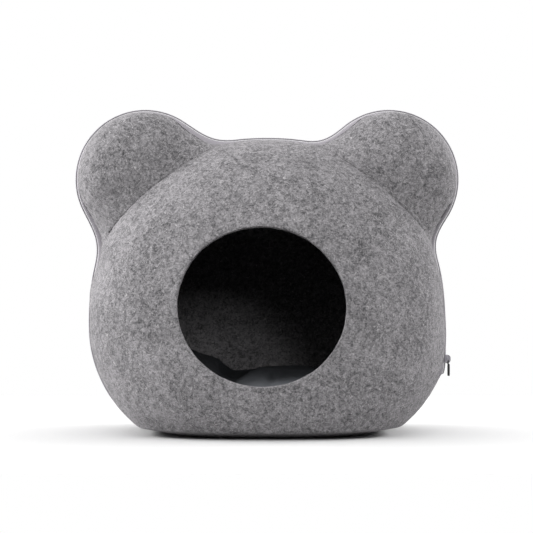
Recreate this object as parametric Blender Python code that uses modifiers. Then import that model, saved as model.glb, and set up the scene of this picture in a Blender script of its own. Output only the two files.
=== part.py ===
"""Felt cat cave: two moulded felt half shells in the outline of a round-eared head,
zipped together around their rim, with a round door and a loose cushion inside.

Metres, +Z up. The door faces -Y. The origin is on the floor, under the middle of the cave.
The plane y = 0 is the zip's plane: the front shell lies before it, the back shell behind it.
"""
import math

import bpy
import numpy as np
from mathutils import Matrix, Vector

# Head: a soft square outline in the zip's plane
HEAD_HALF_WIDTH = 0.2109
HEAD_WIDEST_Z = 0.1302
HEAD_RISE = 0.2191            # from the widest height to the top
HEAD_DROP = 0.1647            # from the widest height to the lowest point, were it not pressed flat
HEAD_SQUARENESS = 2.25
HEAD_DEPTH = 0.170            # from the zip's plane to the fullest point of each shell

# Ears: round pads that grow out of the head
EAR_X = 0.1462
EAR_Z = 0.3023
EAR_RADIUS = 0.0806
EAR_DEPTH = 0.067             # from the zip's plane to an ear's face
EAR_ROUNDING = 0.052          # width of the rounding between an ear's rim and its face
EAR_FULLNESS = 2.4
EAR_CREASE = 8                # the higher, the sharper the crease between ear and head

# Moulded profile of the shells, from the rim to the face
RIM_GAP = 0.008               # from the zip's plane to each felt rim, beside the zip
BAND_DEPTH = RIM_GAP + 0.010  # the felt runs straight from the rim to here
TOP_FULLNESS = 2.05
SIDE_FULLNESS = 2.5
FLOOR_FULLNESS = 3.4          # squarer towards the floor
UPWARD_EASE = (0.1, 0.9)      # where the side's fullness turns into the top's
DOWNWARD_EASE = (0.1, 1.1)    # and into the floor's
FELT = 0.0045
FELT_FILLET = 0.014           # blend of the felt's outline between ear and head

# Door, in the front shell
DOOR_X = -0.0060
DOOR_Z = 0.1525
DOOR_HALF_WIDTH = 0.0973
DOOR_HALF_HEIGHT = 0.0916
DOOR_TILT = math.radians(-5.7)
CROWN_CAP_RADIUS = 0.016      # the back shell's last small patch, where the front has its door

# Underside: flat in the middle, easing up to a crisp lower edge
REST_HALF_SIZE = 0.116
EDGE_HALF_SIZE = 0.152
EDGE_LIFT = 0.0072
REST_SQUARENESS = 2.5
EDGE_ROUNDING = 0.003

# Seam under the cave, where the rims are sewn to each other
SEAM_GAP = 0.00015
SEAM_TOP_Z = 0.024            # the rims part between these two heights
SEAM_LOW_Z = 0.003

# Zip
TAPE = 0.0007
TAPE_CLEARANCE = 0.0004
TAPE_LEG = 0.008              # how far the tape is sewn in behind the felt
TAPE_FILLET_LEFT = 0.038      # a tight tape bridges the hollows more than the felt does
TAPE_FILLET_RIGHT = 0.031
TAPE_STAND_OFF = 0.0007
TAPE_FLAT_HALF = 0.0032
TAPE_END_Z = 0.022
COIL_HALF_WIDTH = 0.0026
COIL_HALF_HEIGHT = 0.0011
COIL_SIDES = 8
FIT_GAP = 0.0003

# Slider, at the lower right, where the tape stands away from the felt
SLIDER_Z = 0.088
SLIDER_LENGTH = 0.0104
SLIDER_WIDTH = 0.0095
PLATE = 0.0014
ARCH_WIDTH = 0.0034
ARCH_HEIGHT = 0.0040
ARCH_OPENING_LENGTH = 0.0068
ARCH_OPENING_HEIGHT = 0.0024
TAIL_HEIGHT = 0.0065          # how far the zip's tail stands out, at its furthest
TAIL_LOW_Z = 0.062
TAIL_FULL_Z = 0.073
TAIL_HIGH_Z = 0.104
TAIL_STATIONS = 4             # extra sections between two stations along the tail
PULL_BAR = 0.0014
PULL_WIDTH = 0.0080
PULL_THICKNESS = 0.0026
PULL_LENGTH = 0.0150

# Cushion
CUSHION_HALF_WIDTH = 0.152
CUSHION_HALF_DEPTH = 0.118
CUSHION_SQUARENESS = 2.7
CUSHION_EDGE_Z = 0.034
CUSHION_CROWN_Z = 0.077
CUSHION_SIDES = 44
CUSHION_CROWN_SHAPE = (2.6, 0.6)   # exponents of the crown: fuller middle, rounder shoulder
CUSHION_LOBE_FADE = 4
# Rings of the cushion, from its middle below to its middle above: size, and height below the edge
CUSHION_LOWER_RINGS = ((0.62, 0.0), (0.82, 0.20), (0.95, 0.45), (0.995, 0.75))
CUSHION_UPPER_RINGS = (1.0, 0.97, 0.90, 0.80, 0.66, 0.50, 0.33, 0.16)
CUSHION_LOBE_X = -0.104       # the cushion rides up at the left
CUSHION_LOBE_Y = -0.030
CUSHION_LOBE_REACH_X = 0.040
CUSHION_LOBE_REACH_Y = 0.075
CUSHION_LOBE_HEIGHT = 0.026

# How finely the solids are cut
STATIONS = 108                # sections round the outline
OUTER_RINGS = 6               # rings from the rim to the ear's crease or the lower edge
INNER_RINGS = 6               # rings from there to the door
RING_CROWDING = 1.7           # closer rings next to the rim
PLAIN_EDGE = 0.14             # where that edge would be on sections that have none
EDGE_CHANGE = 0.022           # most that it moves from one section to the next
TRACE_STEPS = 40
TRACE_POINTS = 4001
DENSE_POINTS = 1200
FINE_STEPS = 300
SEARCH_FROM = 0.05            # the outline is between these distances from the door's middle
SEARCH_TO = 0.40

PARTS_NAME = "felt_cat_cave"
CUTTERS_NAME = "cutters"


def clear_scene():
    for obj in list(bpy.data.objects):
        bpy.data.objects.remove(obj, do_unlink=True)


def make_collection(name):
    collection = bpy.data.collections.new(name)
    bpy.context.scene.collection.children.link(collection)
    return collection


def make_material(name, color, roughness, metallic=0.0):
    material = bpy.data.materials.new(name)
    material.use_nodes = True
    shader = material.node_tree.nodes["Principled BSDF"]
    shader.inputs["Base Color"].default_value = (*color, 1.0)
    shader.inputs["Roughness"].default_value = roughness
    shader.inputs["Metallic"].default_value = metallic
    return material


def mesh_object(name, points, faces, material, collection):
    mesh = bpy.data.meshes.new(name)
    mesh.from_pydata([tuple(map(float, point)) for point in points], [], faces)
    mesh.materials.append(material)
    mesh.validate()
    mesh.shade_smooth()
    obj = bpy.data.objects.new(name, mesh)
    collection.objects.link(obj)
    return obj


# ---------------------------------------------------------------- outline in the zip's plane

def head_fraction(x, z):
    """0 in the middle of the head, 1 on its outline."""
    half_height = np.where(z > HEAD_WIDEST_Z, HEAD_RISE, HEAD_DROP)
    across = np.abs(x) / HEAD_HALF_WIDTH
    up = np.abs(z - HEAD_WIDEST_Z) / half_height
    return (across ** HEAD_SQUARENESS + up ** HEAD_SQUARENESS) ** (1 / HEAD_SQUARENESS)


def outline_distance(x, z, fillet):
    """Roughly the distance outside the outline of head and ears, blended by the fillet."""
    fraction = np.maximum(head_fraction(x, z), 1e-6)
    head = np.hypot(x, z - HEAD_WIDEST_Z) * (fraction - 1) / fraction
    ear = np.hypot(np.abs(x) - EAR_X, z - EAR_Z) - EAR_RADIUS
    overlap = np.maximum(fillet - np.abs(head - ear), 0) / fillet
    return np.minimum(head, ear) - overlap ** 2 * fillet / 4


def outline_radius(angle, fillet):
    """Distance from the door's middle to the outline, at an angle above the horizontal."""
    inside = np.full_like(angle, SEARCH_FROM)
    outside = np.full_like(angle, SEARCH_TO)
    for _ in range(TRACE_STEPS):
        middle = (inside + outside) / 2
        x = DOOR_X + middle * np.cos(angle)
        z = DOOR_Z + middle * np.sin(angle)
        is_in = outline_distance(x, z, fillet) < 0
        inside = np.where(is_in, middle, inside)
        outside = np.where(is_in, outside, middle)
    return inside


def outline_points(angle, fillet):
    radius = outline_radius(angle, fillet)
    x = DOOR_X + radius * np.cos(angle)
    return np.stack([x, DOOR_Z + radius * np.sin(angle)], axis=1)


def station_angles():
    """Angles of sections spaced evenly along the outline, all the way round from the bottom."""
    fine = np.linspace(-math.pi / 2, math.pi * 1.5, TRACE_POINTS)
    points = outline_points(fine, FELT_FILLET)
    length = np.concatenate([[0], np.cumsum(np.linalg.norm(np.diff(points, axis=0), axis=1))])
    return np.interp(np.linspace(0, length[-1], STATIONS + 1)[:-1], length, fine)


def outward_normals(points):
    """Unit normals of a closed outline that runs anticlockwise."""
    along = np.roll(points, -1, axis=0) - np.roll(points, 1, axis=0)
    along /= np.linalg.norm(along, axis=1)[:, None]
    return np.stack([along[:, 1], -along[:, 0]], axis=1)


def ease(value, low, high):
    """0 below low, 1 above high, and a smooth step between."""
    step = np.clip((value - low) / (high - low), 0, 1)
    return step * step * (3 - 2 * step)


# ---------------------------------------------------------------- felt shells

def rim_depth(z):
    """Distance of a felt rim from the zip's plane: open beside the zip, sewn under the cave."""
    return SEAM_GAP + (RIM_GAP - SEAM_GAP) * ease(z, SEAM_LOW_Z, SEAM_TOP_Z)


def head_depth(x, z):
    """Distance of the head's moulded face from the zip's band, above one point of its plane."""
    fraction = np.clip(head_fraction(x, z), 0, 1)
    clear = np.maximum(fraction, 0.05)
    downward = ease((HEAD_WIDEST_Z - z) / HEAD_DROP / clear, *DOWNWARD_EASE)
    upward = ease((z - HEAD_WIDEST_Z) / HEAD_RISE / clear, *UPWARD_EASE)
    fullness = (SIDE_FULLNESS + (FLOOR_FULLNESS - SIDE_FULLNESS) * downward
                + (TOP_FULLNESS - SIDE_FULLNESS) * upward)
    return (HEAD_DEPTH - BAND_DEPTH) * (1 - fraction ** fullness) ** (1 / fullness)


def ear_depth(x, z, outline):
    """The same for the pad that shows at the ears; it rounds over from the outline inward."""
    points = np.stack([x, z], axis=-1)[..., None, :]
    apart = np.linalg.norm(points - outline, axis=-1).min(axis=-1)
    inward = np.clip(1 - apart / EAR_ROUNDING, 0, 1)
    return (EAR_DEPTH - BAND_DEPTH) * (1 - inward ** EAR_FULLNESS) ** (1 / EAR_FULLNESS)


def underside(x, y):
    """Height of the lowest felt above the floor."""
    reach = (np.abs(x) ** REST_SQUARENESS + np.abs(y) ** REST_SQUARENESS) ** (1 / REST_SQUARENESS)
    slope = EDGE_LIFT / (EDGE_HALF_SIZE - REST_HALF_SIZE)
    return np.maximum(reach - REST_HALF_SIZE, 0) * slope


def press_flat(x, y, z):
    """Raises what lies below the underside, and rounds the edge where the two meet."""
    floor = underside(x, y)
    overlap = np.maximum(EDGE_ROUNDING - np.abs(z - floor), 0) / EDGE_ROUNDING
    rounding = overlap ** 2 * EDGE_ROUNDING / 4 * ease(floor, 0, EDGE_LIFT)
    return np.maximum(z, floor) + rounding


def inner_ring(angles, half_width, half_height):
    """The ellipse at which a shell ends, with a point in each section's direction."""
    turned = angles - DOOR_TILT
    radius = 1 / np.hypot(np.cos(turned) / half_width, np.sin(turned) / half_height)
    x = DOOR_X + radius * np.cos(angles)
    return np.stack([x, DOOR_Z + radius * np.sin(angles)], axis=1)


def edge_steps(outline, last_ring, dense):
    """How far in each section's last edge lies: the ear's crease, or the lower edge."""
    steps = np.linspace(0, 1, FINE_STEPS)
    found = np.full(len(outline), PLAIN_EDGE)
    for i, (start, end) in enumerate(zip(outline, last_ring)):
        x, z = start[:, None] + (end - start)[:, None] * steps
        head = head_depth(x, z)
        ear = ear_depth(x, z, dense)
        before = np.maximum(ear - head, underside(x, BAND_DEPTH + head) - z)
        last = np.flatnonzero(before > 0)
        if len(last) and last[-1] > 0:
            k = last[-1]
            exact = steps[k] + (steps[k + 1] - steps[k]) * before[k] / (before[k] - before[k + 1])
            found[i] = max(exact, PLAIN_EDGE)
    apart = np.abs(np.arange(len(found))[:, None] - np.arange(len(found)))
    apart = np.minimum(apart, len(found) - apart)
    return (found - apart * EDGE_CHANGE).max(axis=1)


def shell_rings(angles, last_ring):
    """Rings of points from the rim to the last ring; y is the distance from the zip's plane."""
    outline = outline_points(angles, FELT_FILLET)
    dense = outline_points(np.linspace(-math.pi, math.pi, DENSE_POINTS), FELT_FILLET)
    edge = edge_steps(outline, last_ring, dense)
    outer = [edge * step ** RING_CROWDING for step in np.linspace(0, 1, OUTER_RINGS + 1)]
    inner = [edge + (1 - edge) * step for step in np.linspace(0, 1, INNER_RINGS + 1)]
    x, z = outline.T
    y = rim_depth(z)
    rings = [np.stack([x, y, press_flat(x, y, z)], axis=1)]
    for steps in outer + inner[1:]:
        x, z = (outline + (last_ring - outline) * steps[:, None]).T
        head = head_depth(x, z)
        ear = ear_depth(x, z, dense) * (steps > 0)
        y = BAND_DEPTH + (head ** EAR_CREASE + ear ** EAR_CREASE) ** (1 / EAR_CREASE)
        rings.append(np.stack([x, y, press_flat(x, y, z)], axis=1))
    return np.stack(rings)


def grid_faces(rings, count, closed=True):
    """Quads between rings of count points each."""
    faces = []
    for ring in range(rings - 1):
        for i in range(count if closed else count - 1):
            j = (i + 1) % count
            faces.append((ring * count + i, ring * count + j,
                          (ring + 1) * count + j, (ring + 1) * count + i))
    return faces


def solidify(obj, thickness, offset):
    modifier = obj.modifiers.new("Thickness", "SOLIDIFY")
    modifier.thickness = thickness
    modifier.offset = offset


def build_shell(name, side, last_ring, capped, material, collection):
    """A felt half shell; side is -1 in front of the zip's plane and +1 behind it."""
    rings = shell_rings(station_angles(), last_ring)
    ring_count, count = rings.shape[:2]
    points = rings.reshape(-1, 3) * (1, side, 1)
    faces = grid_faces(ring_count, count)
    if capped:
        last = points[-count:]
        points = np.concatenate([points, [last.mean(axis=0)]])
        first = (ring_count - 1) * count
        faces += [(first + i, first + (i + 1) % count, len(points) - 1) for i in range(count)]
    if side > 0:
        faces = [face[::-1] for face in faces]
    shell = mesh_object(name, points, faces, material, collection)
    solidify(shell, FELT, -1)
    return shell


# ---------------------------------------------------------------- zip

def tail_height(x, z):
    """The zip's end, at the right, isn't sewn down, and stands out."""
    rise = ease(z, TAIL_LOW_Z, TAIL_FULL_Z) * (1 - ease(z, TAIL_FULL_Z, TAIL_HIGH_Z))
    return np.where(x > 0, TAIL_HEIGHT * rise, 0)


def taut_outline(angles):
    """The outline that the tape takes; its hollow at the left is the fuller one."""
    left = outline_points(angles, TAPE_FILLET_LEFT)
    right = outline_points(angles, TAPE_FILLET_RIGHT)
    return np.where(left[:, :1] < 0, left, right)


def zip_sections():
    """Felt outline, zip line and normal at each section of the zip, from right to left."""
    angles = station_angles()
    felt = outline_points(angles, FELT_FILLET)
    normals = outward_normals(felt)
    taut = taut_outline(angles)
    above = [i for i in range(len(angles)) if felt[i, 1] > TAPE_END_Z]
    places = []
    for i in above[:-1]:
        on_tail = felt[i, 0] > 0 and felt[i + 1, 1] > TAIL_LOW_Z and felt[i, 1] < TAIL_HIGH_Z
        parts = TAIL_STATIONS if on_tail else 1
        places += [i + part / parts for part in range(parts)]
    places.append(above[-1])
    index = np.arange(len(angles))

    def at(values):
        return np.stack([np.interp(places, index, values[:, axis]) for axis in range(2)], axis=1)

    felt, normals, taut = at(felt), at(normals), at(taut)
    normals /= np.linalg.norm(normals, axis=1)[:, None]
    stand_off = tail_height(felt[:, 0], felt[:, 1]) + TAPE_STAND_OFF
    return felt, taut + normals * stand_off[:, None], normals


def build_tape(name, side, material, collection):
    """A woven tape: sewn in behind the felt, then out to the coil."""
    felt, line, normals = zip_sections()
    behind = felt - normals * (FELT + TAPE_CLEARANCE + TAPE)
    columns = [(behind, RIM_GAP + TAPE_LEG), (behind, RIM_GAP - 2 * TAPE),
               (line, TAPE_FLAT_HALF), (line, TAPE)]
    points = [(x, side * y, z) for place, y in columns for x, z in place]
    faces = grid_faces(len(columns), len(felt), closed=False)
    if side < 0:
        faces = [face[::-1] for face in faces]
    tape = mesh_object(name, points, faces, material, collection)
    solidify(tape, TAPE, 0)
    return tape


def coil_centre(line, normals):
    return line + normals * (TAPE / 2 + FIT_GAP + COIL_HALF_HEIGHT)


def build_coil(material, collection):
    """The closed coil, as one flat bead along the zip line."""
    _, line, normals = zip_sections()
    centres = coil_centre(line, normals)
    points = []
    for centre, normal in zip(centres, normals):
        for side in range(COIL_SIDES):
            turn = 2 * math.pi * (side + 0.5) / COIL_SIDES
            out = COIL_HALF_HEIGHT * math.sin(turn)
            points.append((centre[0] + normal[0] * out, COIL_HALF_WIDTH * math.cos(turn),
                           centre[1] + normal[1] * out))
    faces = grid_faces(len(centres), COIL_SIDES)
    faces = [face[::-1] for face in faces]
    faces.append(tuple(range(COIL_SIDES)))
    faces.append(tuple(range(len(points) - 1, len(points) - 1 - COIL_SIDES, -1)))
    return mesh_object("zip_coil", points, faces, material, collection)


def slider_frame():
    """Matrix of the slider: local X outward, Y along world Y, Z up the zip."""
    _, line, normals = zip_sections()
    on_right = line[:, 0] > 0
    reach = np.where(on_right, np.abs(line[:, 1] - SLIDER_Z), 1)
    nearest = int(np.argmin(reach))
    out = normals[nearest]
    along = line[nearest + 1] - line[nearest - 1]
    up = Vector((along[0], 0, along[1])).normalized()
    outward = Vector((out[0], 0, out[1]))
    outward = (outward - up * outward.dot(up)).normalized()
    middle = coil_centre(line, normals)[nearest]
    frame = Matrix((outward, (0, 1, 0), up)).transposed().to_4x4()
    frame.translation = (middle[0], 0, middle[1])
    return frame


def box(name, low, high, frame, material, collection, bevel=0.0):
    """A box between two local corners, placed by a frame."""
    size = Vector(high) - Vector(low)
    bpy.ops.mesh.primitive_cube_add(size=1)
    obj = bpy.context.object
    obj.name = obj.data.name = name
    obj.data.transform(Matrix.Translation((Vector(low) + Vector(high)) / 2)
                       @ Matrix.Diagonal((*size, 1)))
    obj.matrix_world = frame
    obj.data.materials.append(material)
    for owner in list(obj.users_collection):
        owner.objects.unlink(obj)
    collection.objects.link(obj)
    if bevel:
        edge = obj.modifiers.new("Edges", "BEVEL")
        edge.width = bevel
        edge.segments = 2
    return obj


def boolean(obj, operation, other):
    modifier = obj.modifiers.new(other.name, "BOOLEAN")
    modifier.operation = operation
    modifier.object = other
    other.hide_render = True
    other.display_type = "WIRE"


def build_slider(material, collection, cutters):
    """A plate with two flanges over the coil, and an arch that holds the pull."""
    frame = slider_frame()
    half_length = SLIDER_LENGTH / 2
    half_width = SLIDER_WIDTH / 2
    plate_low = COIL_HALF_HEIGHT + FIT_GAP
    plate_top = plate_low + PLATE
    arch_top = plate_top + ARCH_HEIGHT
    slider = box("zip_slider", (-COIL_HALF_HEIGHT, -half_width, -half_length),
                 (plate_top, half_width, half_length), frame, material, collection, bevel=0.0006)
    arch = box("slider_arch", (plate_top - PLATE / 2, -ARCH_WIDTH / 2, -half_length),
               (arch_top, ARCH_WIDTH / 2, half_length), frame, material, cutters, bevel=0.0011)
    channel_half = COIL_HALF_WIDTH + FIT_GAP
    channel = box("slider_channel", (-2 * COIL_HALF_HEIGHT, -channel_half, -SLIDER_LENGTH),
                  (plate_low, channel_half, SLIDER_LENGTH), frame, material, cutters)
    opening_half = ARCH_OPENING_LENGTH / 2
    opening = box("arch_opening", (plate_top, -SLIDER_WIDTH, -opening_half),
                  (plate_top + ARCH_OPENING_HEIGHT, SLIDER_WIDTH, opening_half),
                  frame, material, cutters)
    boolean(slider, "UNION", arch)
    boolean(slider, "DIFFERENCE", channel)
    boolean(slider, "DIFFERENCE", opening)
    return slider


def build_pull(material, collection, cutters):
    """A thin tab that hangs from a bar under the slider's arch."""
    frame = slider_frame()
    plate_top = COIL_HALF_HEIGHT + FIT_GAP + PLATE
    bar_out = plate_top + ARCH_OPENING_HEIGHT / 2
    bar_down = -ARCH_OPENING_LENGTH / 2 + PULL_BAR / 2 + FIT_GAP
    hang = Matrix.Translation(frame @ Vector((bar_out, 0, bar_down)))
    half_bar = PULL_BAR / 2
    half_width = PULL_WIDTH / 2
    window_half = ARCH_WIDTH / 2 + 2 * FIT_GAP
    tab_top = -SLIDER_LENGTH / 2 - bar_down - 4 * FIT_GAP
    pull = box("zip_pull", (-half_bar, -half_width, tab_top), (half_bar, half_width, half_bar),
               hang, material, collection)
    window = box("pull_window", (-SLIDER_WIDTH, -window_half, tab_top),
                 (SLIDER_WIDTH, window_half, -half_bar), hang, material, cutters)
    tab = box("pull_tab", (-half_bar, -half_width, -PULL_LENGTH),
              (PULL_THICKNESS - half_bar, half_width, tab_top + half_bar),
              hang, material, cutters, bevel=0.0010)
    boolean(pull, "DIFFERENCE", window)
    boolean(pull, "UNION", tab)
    return pull


# ---------------------------------------------------------------- cushion

def cushion_top(x, y, fraction):
    """Height of the cushion's upper side: a crown, and a lobe where it rides up the wall."""
    full, round_off = CUSHION_CROWN_SHAPE
    crown = (CUSHION_CROWN_Z - CUSHION_EDGE_Z) * (1 - fraction ** full) ** round_off
    lobe = math.exp(-((x - CUSHION_LOBE_X) / CUSHION_LOBE_REACH_X) ** 2
                    - ((y - CUSHION_LOBE_Y) / CUSHION_LOBE_REACH_Y) ** 2)
    return CUSHION_EDGE_Z + crown + CUSHION_LOBE_HEIGHT * lobe * (1 - fraction ** CUSHION_LOBE_FADE)


def cushion_ring(fraction):
    """A ring of the cushion's plan, at a fraction of its full size."""
    ring = []
    for side in range(CUSHION_SIDES):
        turn = 2 * math.pi * side / CUSHION_SIDES
        across = abs(math.cos(turn) / CUSHION_HALF_WIDTH) ** CUSHION_SQUARENESS
        deep = abs(math.sin(turn) / CUSHION_HALF_DEPTH) ** CUSHION_SQUARENESS
        radius = fraction * (across + deep) ** (-1 / CUSHION_SQUARENESS)
        ring.append((radius * math.cos(turn), radius * math.sin(turn)))
    return ring


def build_cushion(material, collection):
    """One filled solid: flat below, drawn in at its edge, crowned above."""
    bottom = FELT + FIT_GAP
    points = []
    for fraction, height in CUSHION_LOWER_RINGS:
        level = bottom + (CUSHION_EDGE_Z - bottom) * height
        points += [(x, y, level) for x, y in cushion_ring(fraction)]
    for fraction in CUSHION_UPPER_RINGS:
        points += [(x, y, cushion_top(x, y, fraction)) for x, y in cushion_ring(fraction)]
    rings = len(points) // CUSHION_SIDES
    faces = grid_faces(rings, CUSHION_SIDES)
    faces.append(tuple(range(CUSHION_SIDES - 1, -1, -1)))
    middle = len(points)
    first = middle - CUSHION_SIDES
    points.append((0, 0, cushion_top(0, 0, 0)))
    faces += [(first + i, first + (i + 1) % CUSHION_SIDES, middle) for i in range(CUSHION_SIDES)]
    return mesh_object("cushion", points, faces, material, collection)


def main():
    clear_scene()
    parts = make_collection(PARTS_NAME)
    cutters = make_collection(CUTTERS_NAME)

    felt = make_material("felt", (0.235, 0.235, 0.240), 0.95)
    tape = make_material("zip_tape", (0.330, 0.310, 0.335), 0.85)
    coil = make_material("zip_coil", (0.245, 0.225, 0.250), 0.45)
    slider = make_material("zip_slider", (0.270, 0.260, 0.285), 0.35)
    pull = make_material("zip_pull", (0.012, 0.012, 0.013), 0.60)
    lining = make_material("cushion", (0.030, 0.031, 0.036), 0.80)

    angles = station_angles()
    door = inner_ring(angles, DOOR_HALF_WIDTH, DOOR_HALF_HEIGHT)
    cap = inner_ring(angles, CROWN_CAP_RADIUS, CROWN_CAP_RADIUS)
    build_shell("front_shell", -1, door, False, felt, parts)
    build_shell("back_shell", 1, cap, True, felt, parts)
    build_tape("zip_tape_front", -1, tape, parts)
    build_tape("zip_tape_back", 1, tape, parts)
    build_coil(coil, parts)
    build_slider(slider, parts, cutters)
    build_pull(pull, parts, cutters)
    build_cushion(lining, parts)


main()
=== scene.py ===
"""Felt cat cave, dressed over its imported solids.

Metres, +Z up. The door faces -Y, and the plane y = 0 is the zip's plane. The outline formulas are
those of the solids, on a finer grid. The lean of the lower body, the fuller ears, the pressed
crease and the felt's inset beside the zip are only here.
"""
import math

import bpy
import numpy as np
from mathutils import Matrix, Vector


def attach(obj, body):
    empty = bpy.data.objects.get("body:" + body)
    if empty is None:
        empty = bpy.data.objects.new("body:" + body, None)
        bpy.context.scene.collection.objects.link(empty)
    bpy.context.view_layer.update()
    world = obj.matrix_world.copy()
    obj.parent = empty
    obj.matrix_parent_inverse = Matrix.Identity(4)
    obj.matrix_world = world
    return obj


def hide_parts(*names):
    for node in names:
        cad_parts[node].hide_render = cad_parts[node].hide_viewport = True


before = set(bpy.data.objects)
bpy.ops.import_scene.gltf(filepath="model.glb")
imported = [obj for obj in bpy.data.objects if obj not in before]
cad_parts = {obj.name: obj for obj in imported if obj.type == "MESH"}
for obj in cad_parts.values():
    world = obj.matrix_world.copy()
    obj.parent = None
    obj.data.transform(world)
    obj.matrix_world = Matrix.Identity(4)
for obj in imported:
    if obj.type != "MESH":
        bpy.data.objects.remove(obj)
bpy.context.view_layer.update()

BODY = "root"

# Head and ears
HEAD_HALF_WIDTH = 0.2109
HEAD_WIDEST_Z = 0.1302
HEAD_RISE = 0.2191
HEAD_DROP = 0.1647
HEAD_SQUARENESS = 2.25
HEAD_DEPTH = 0.170
LEAN_LEFT = 0.0014  # the lower body leans to the right, more so on its right side
LEAN_LEFT_HIGH_Z = 0.120
LEAN_RIGHT = 0.0044
LEAN_RIGHT_HIGH_Z = 0.155
LEAN_LOW_Z = 0.055
LEAN_HALF_X = 0.15  # it changes from left to right within this of the middle
DOWNWARD_EASE = (0.1, 1.1)  # where the profile turns from the sides' fullness to the floor's
UPWARD_EASE = (0.1, 0.9)  # and to the top's
LEAST_FRACTION = 0.05  # keeps the division by the head's fraction safe
EAR_X = 0.1462
EAR_Z = 0.3023
EAR_RADIUS = 0.0806
EAR_DEPTH = 0.067
EAR_ROUNDING = 0.052
EAR_FULLNESS = 2.4
EAR_BULGE = 0.0075  # by how much the ear's face is fuller than in the solids
EAR_BULGE_RANGE = (0.008, 0.068)  # from and to these distances from the outline
EAR_CREASE = 60  # power of the blend of ear and head, which is crisper than in the solids
CREASE_GROOVE = 0.0012  # depth of the pressed line along the crease
CREASE_REACH = 0.0011
GROOVE_RANGE = (0.015, 0.030)  # it fades in between these distances from the zip's band

# Moulded profile of the shells
RIM_GAP = 0.008
BAND_DEPTH = RIM_GAP + 0.010
TOP_FULLNESS = 2.05
SIDE_FULLNESS = 2.5
FLOOR_FULLNESS = 3.4
FELT = 0.0045
FELT_FILLET = 0.036  # wider than in the solids, but set in below the zip's line
FELT_INSET = 0.0038  # how far, where an ear meets the head and at the zip's free end
PLAIN_SHARE = 0.28  # share of the inset elsewhere
NECK_RANGE = (0.030, 0.060)  # difference of the distances to ear and head over which it fades
DOOR_X = -0.0060
DOOR_Z = 0.1525
DOOR_HALF_WIDTH = 0.0973
DOOR_HALF_HEIGHT = 0.0916
DOOR_TILT = math.radians(-5.7)
REST_HALF_SIZE = 0.116
EDGE_HALF_SIZE = 0.152
EDGE_LIFT = 0.0072
REST_SQUARENESS = 2.5
EDGE_ROUNDING = 0.002
SEAM_GAP = 0.00015
SEAM_TOP_Z = 0.024
SEAM_LOW_Z = 0.003

# Zip
TAPE = 0.0007
TAPE_CLEARANCE = 0.0004
TAPE_LEG = 0.008
TAPE_FILLET_LEFT = 0.038
TAPE_FILLET_RIGHT = 0.031
TAPE_STAND_OFF = 0.0007
TAPE_FLAT_HALF = 0.0032
TAPE_END_Z = 0.022
COIL_HALF_WIDTH = 0.0026
COIL_HALF_HEIGHT = 0.0011
FIT_GAP = 0.0003
SLIDER_Z = 0.0878
SLIDER_REACH = 3  # points of the zip's line to each side that give the slider's direction
SLIDER_LENGTH = 0.0104
SLIDER_WIDTH = 0.0095
PLATE = 0.0014
ARCH_WIDTH = 0.0034
ARCH_HEIGHT = 0.0040
ARCH_OPENING_LENGTH = 0.0068  # of the solids' opening, at whose lower end the pull's bar lies
ARCH_OPENING_HEIGHT = 0.0020
ARCH_OPEN = 0.0020  # how much of that length is open here
TAIL_HEIGHT = 0.0037  # how far the zip's free end stands out
TAIL_LOW_Z = 0.062
TAIL_FULL_Z = 0.073
TAIL_HIGH_Z = 0.104
PULL_BAR = 0.0014
PULL_WIDTH = 0.0080
PULL_THICKNESS = 0.0026
PULL_LENGTH = 0.0180

# How finely the felt is made
SEARCH_FROM = 0.05  # distances from the door's middle between which the outline lies
SEARCH_TO = 0.40
SEARCH_STEPS = 40
TRACE_POINTS = 6001
STATIONS = 400  # sections round the outline
OUTER_RINGS = 38  # rings from the rim to the ear's crease or the lower edge
INNER_RINGS = 48  # rings from there to the door
RING_CROWDING = 1.5  # at the rim
CREASE_CROWDING = 1.6  # at the crease, from both sides
PLAIN_EDGE = 0.14  # how far in the last edge lies where there is none
DENSE_POINTS = 1200
FINE_STEPS = 300
BAND_PARTS = (0.0, 0.33, 0.67)  # rings on the flat band beside the zip
CUT_ROUNDING = 0.0005  # rounding of the felt's cut edges
INNER_SMOOTHING = 3  # how often the normals are averaged before the felt gets its thickness
BACK_CAP_RADIUS = 0.004

# Unevenness of the moulded felt: wavelength and height of each kind of wave
FELT_WAVES = ((0.110, 0.00090), (0.045, 0.00030), (0.014, 0.00012))
WAVES_EACH = 14
WAVES_FADE = 0.030  # the waves set in over this depth beyond the band
WAVES_FLOOR_RANGE = (0.004, 0.040)  # and between these heights

# Zip, finer
LINE_FINENESS = 6  # points of the zip's line for each section of the felt
TAPE_STATIONS = 900
TAPE_LEG_COLUMNS = (0, 0.0025, 0.005, 0.0075)  # from the leg's end, towards the bend
TAPE_BEND_COLUMNS = (0.0, 0.12, 0.28, 0.5, 0.72, 0.88, 1.0)  # shares of the way out
TAPE_FLAT_COLUMNS = (0.0025, 0.0018, 0.0012, TAPE)  # distances from the zip's plane
TOOTH_PITCH = 0.00135
TOOTH_SIDES = 6
TOOTH_SHAPE = ((-1.0, 0.35), (-0.93, 0.80), (-0.6, 1.0), (0.45, 0.92), (0.72, 1.1),
               (0.94, 0.95), (1.0, 0.45))  # place along the tooth and thickness there
TOOTH_HALF_LENGTH = COIL_HALF_WIDTH * 0.66
TOOTH_HALF_THICKNESS = 0.00062
TOOTH_HALF_HEIGHT = COIL_HALF_HEIGHT * 0.88
CORE_SIDES = 10
CORE_HALF_HEIGHT = COIL_HALF_HEIGHT * 0.62
CORE_HALF_WIDTH = COIL_HALF_WIDTH * 0.90

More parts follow.
